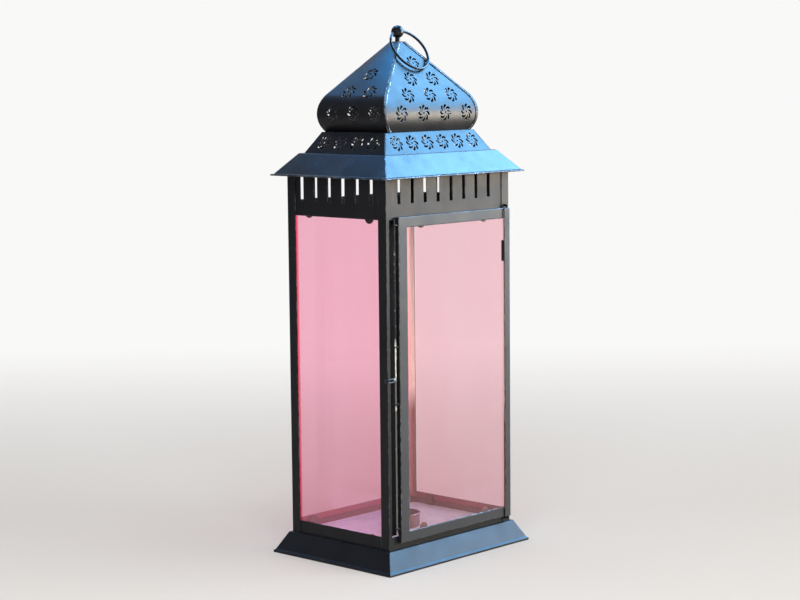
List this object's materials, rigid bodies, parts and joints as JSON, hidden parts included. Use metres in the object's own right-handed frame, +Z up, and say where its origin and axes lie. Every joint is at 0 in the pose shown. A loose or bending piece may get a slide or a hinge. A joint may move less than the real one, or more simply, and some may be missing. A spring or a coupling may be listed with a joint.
{
  "type": "ramadan fanous lantern",
  "caption": "Tall glazed sheet-metal lantern with a hinged door, latch wire, flared base, pierced onion-dome roof, hanging ring and a candle cup inside.",
  "frame": {"origin": "middle of the foot, at floor level", "axes": "+Z up the lantern, -Y out through the door, +X towards the hinge side"},
  "size_m": [0.238, 0.184, 0.6],
  "materials": {
    "black_enamel": "semi-gloss black enamel with worn edges",
    "black_wire": "black enamel on wire, rubbed",
    "spring_wire": "black enamel rubbed through to bare steel at the finger loop",
    "pink_glass": "clear rose-pink glass",
    "door_glass": "clear rose-pink glass, paler",
    "cup_metal": "dark spun metal, a little rough",
    "zinc": "dull zinc plate"
  },
  "bodies": {
    "lantern": {"base_skirt": "black_enamel", "floor_tray": "black_enamel", "post_front_left": "black_enamel", "post_front_right": "black_enamel", "post_back_left": "black_enamel", "post_back_right": "black_enamel", "rail_front": "black_enamel", "rail_back": "black_enamel", "rail_left": "black_enamel", "rail_right": "black_enamel", "vent_front": "black_enamel", "vent_back": "black_enamel", "vent_left": "black_enamel", "vent_right": "black_enamel", "pane_back": "pink_glass", "pane_left": "pink_glass", "pane_right": "pink_glass", "clips_back": "black_enamel", "clips_left": "black_enamel", "clips_right": "black_enamel", "door_stop": "black_enamel", "hinge_wire": "black_wire", "eave": "black_enamel", "tier_front": "black_enamel", "tier_back": "black_enamel", "tier_left": "black_enamel", "tier_right": "black_enamel", "tier_deck": "black_enamel", "dome_front": "black_enamel", "dome_back": "black_enamel", "dome_left": "black_enamel", "dome_right": "black_enamel", "dome_cap": "black_enamel", "finial_nut": "zinc", "finial_stud": "black_enamel", "finial_ball": "black_enamel", "candle_cup": "cup_metal", "cup_rivet": "cup_metal"},
    "door": {"door_frame": "black_enamel", "door_hinge_stile": "black_enamel", "door_pane": "door_glass", "door_clips": "black_enamel", "latch_eyes": "black_wire"},
    "latch": {"latch_wire": "spring_wire"},
    "ring": {"ring_handle": "black_enamel"}
  },
  "joints": [
    {"name": "door_swing", "type": "hinge", "parent": "lantern", "child": "door", "pos_m": [0.0957, -0.0797, 0.2115], "axis": [0, 0, 1], "range_deg": [0, 170]},
    {"name": "latch_turn", "type": "hinge", "parent": "door", "child": "latch", "pos_m": [-0.0926, -0.0782, 0.2135], "axis": [0, 0, 1], "range_deg": [0, 120]},
    {"name": "ring_swing", "type": "hinge", "parent": "lantern", "child": "ring", "pos_m": [0, 0, 0.59277], "axis": [-1, 0, 0], "range_deg": [0, 287]}
  ]
}
